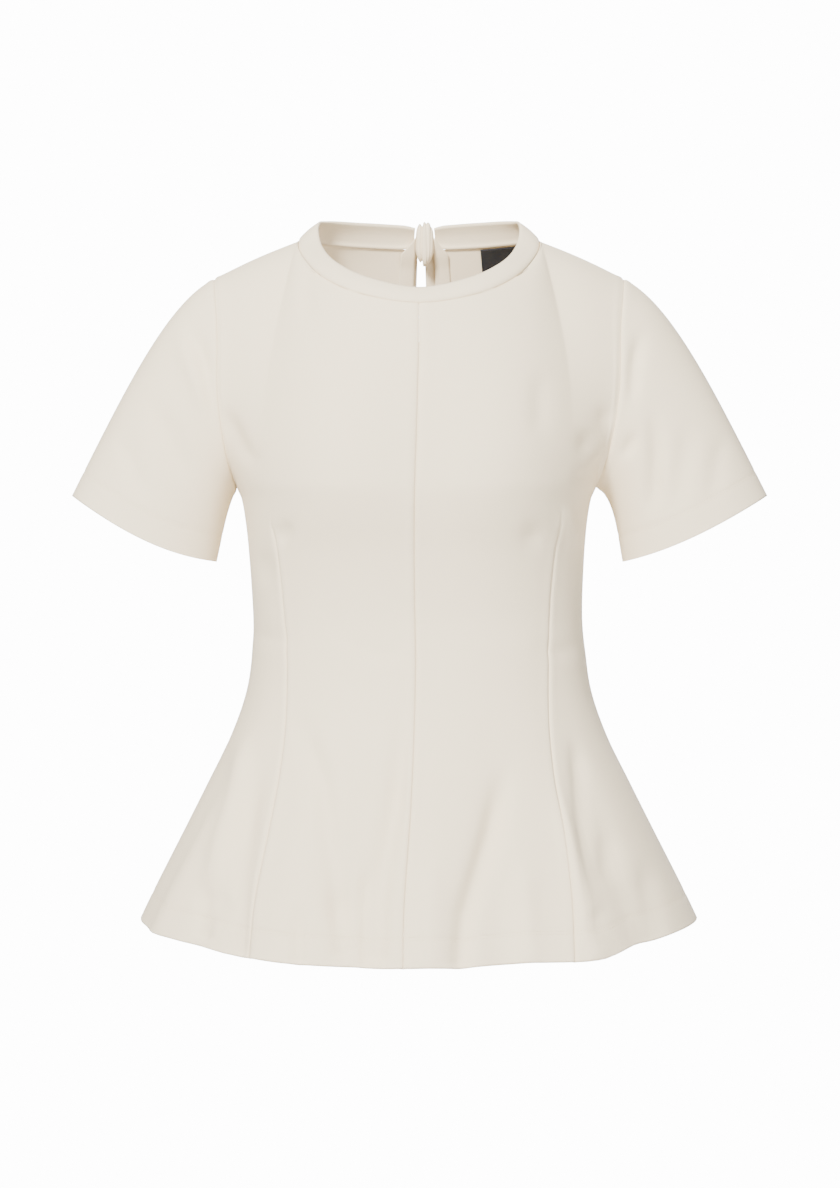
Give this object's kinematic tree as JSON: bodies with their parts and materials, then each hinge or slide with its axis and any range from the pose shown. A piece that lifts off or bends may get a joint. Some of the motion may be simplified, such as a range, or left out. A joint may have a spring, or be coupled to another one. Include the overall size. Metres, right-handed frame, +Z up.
{
  "type": "fitted short-sleeved top with a flared hem",
  "caption": "Fitted short-sleeved jersey top, filled out as worn: round neckband, back keyhole with a knotted tie, centre seams, long darts and a flared hem.",
  "frame": {"origin": "middle of the neck, level with the places where the neckband meets the shoulder seams, where the wearer's shoulders hold the garment up", "axes": "+Z up the body, -Y the way the front faces, +X to the viewer's right when looking at the front"},
  "size_m": [0.5984, 0.3427, 0.6319],
  "materials": {
    "jersey": "smooth matt heavy jersey, cream",
    "label": "plain black woven satin"
  },
  "bodies": {
    "root": {"front_left": "jersey", "front_right": "jersey", "back_left": "jersey", "back_right": "jersey", "sleeve_left": "jersey", "sleeve_right": "jersey", "neckband": "jersey", "keyhole_facing_left": "jersey", "keyhole_facing_right": "jersey", "tie_knot": "jersey", "tie_tail_left": "jersey", "tie_tail_right": "jersey", "neck_label": "label"}
  },
  "joints": []
}
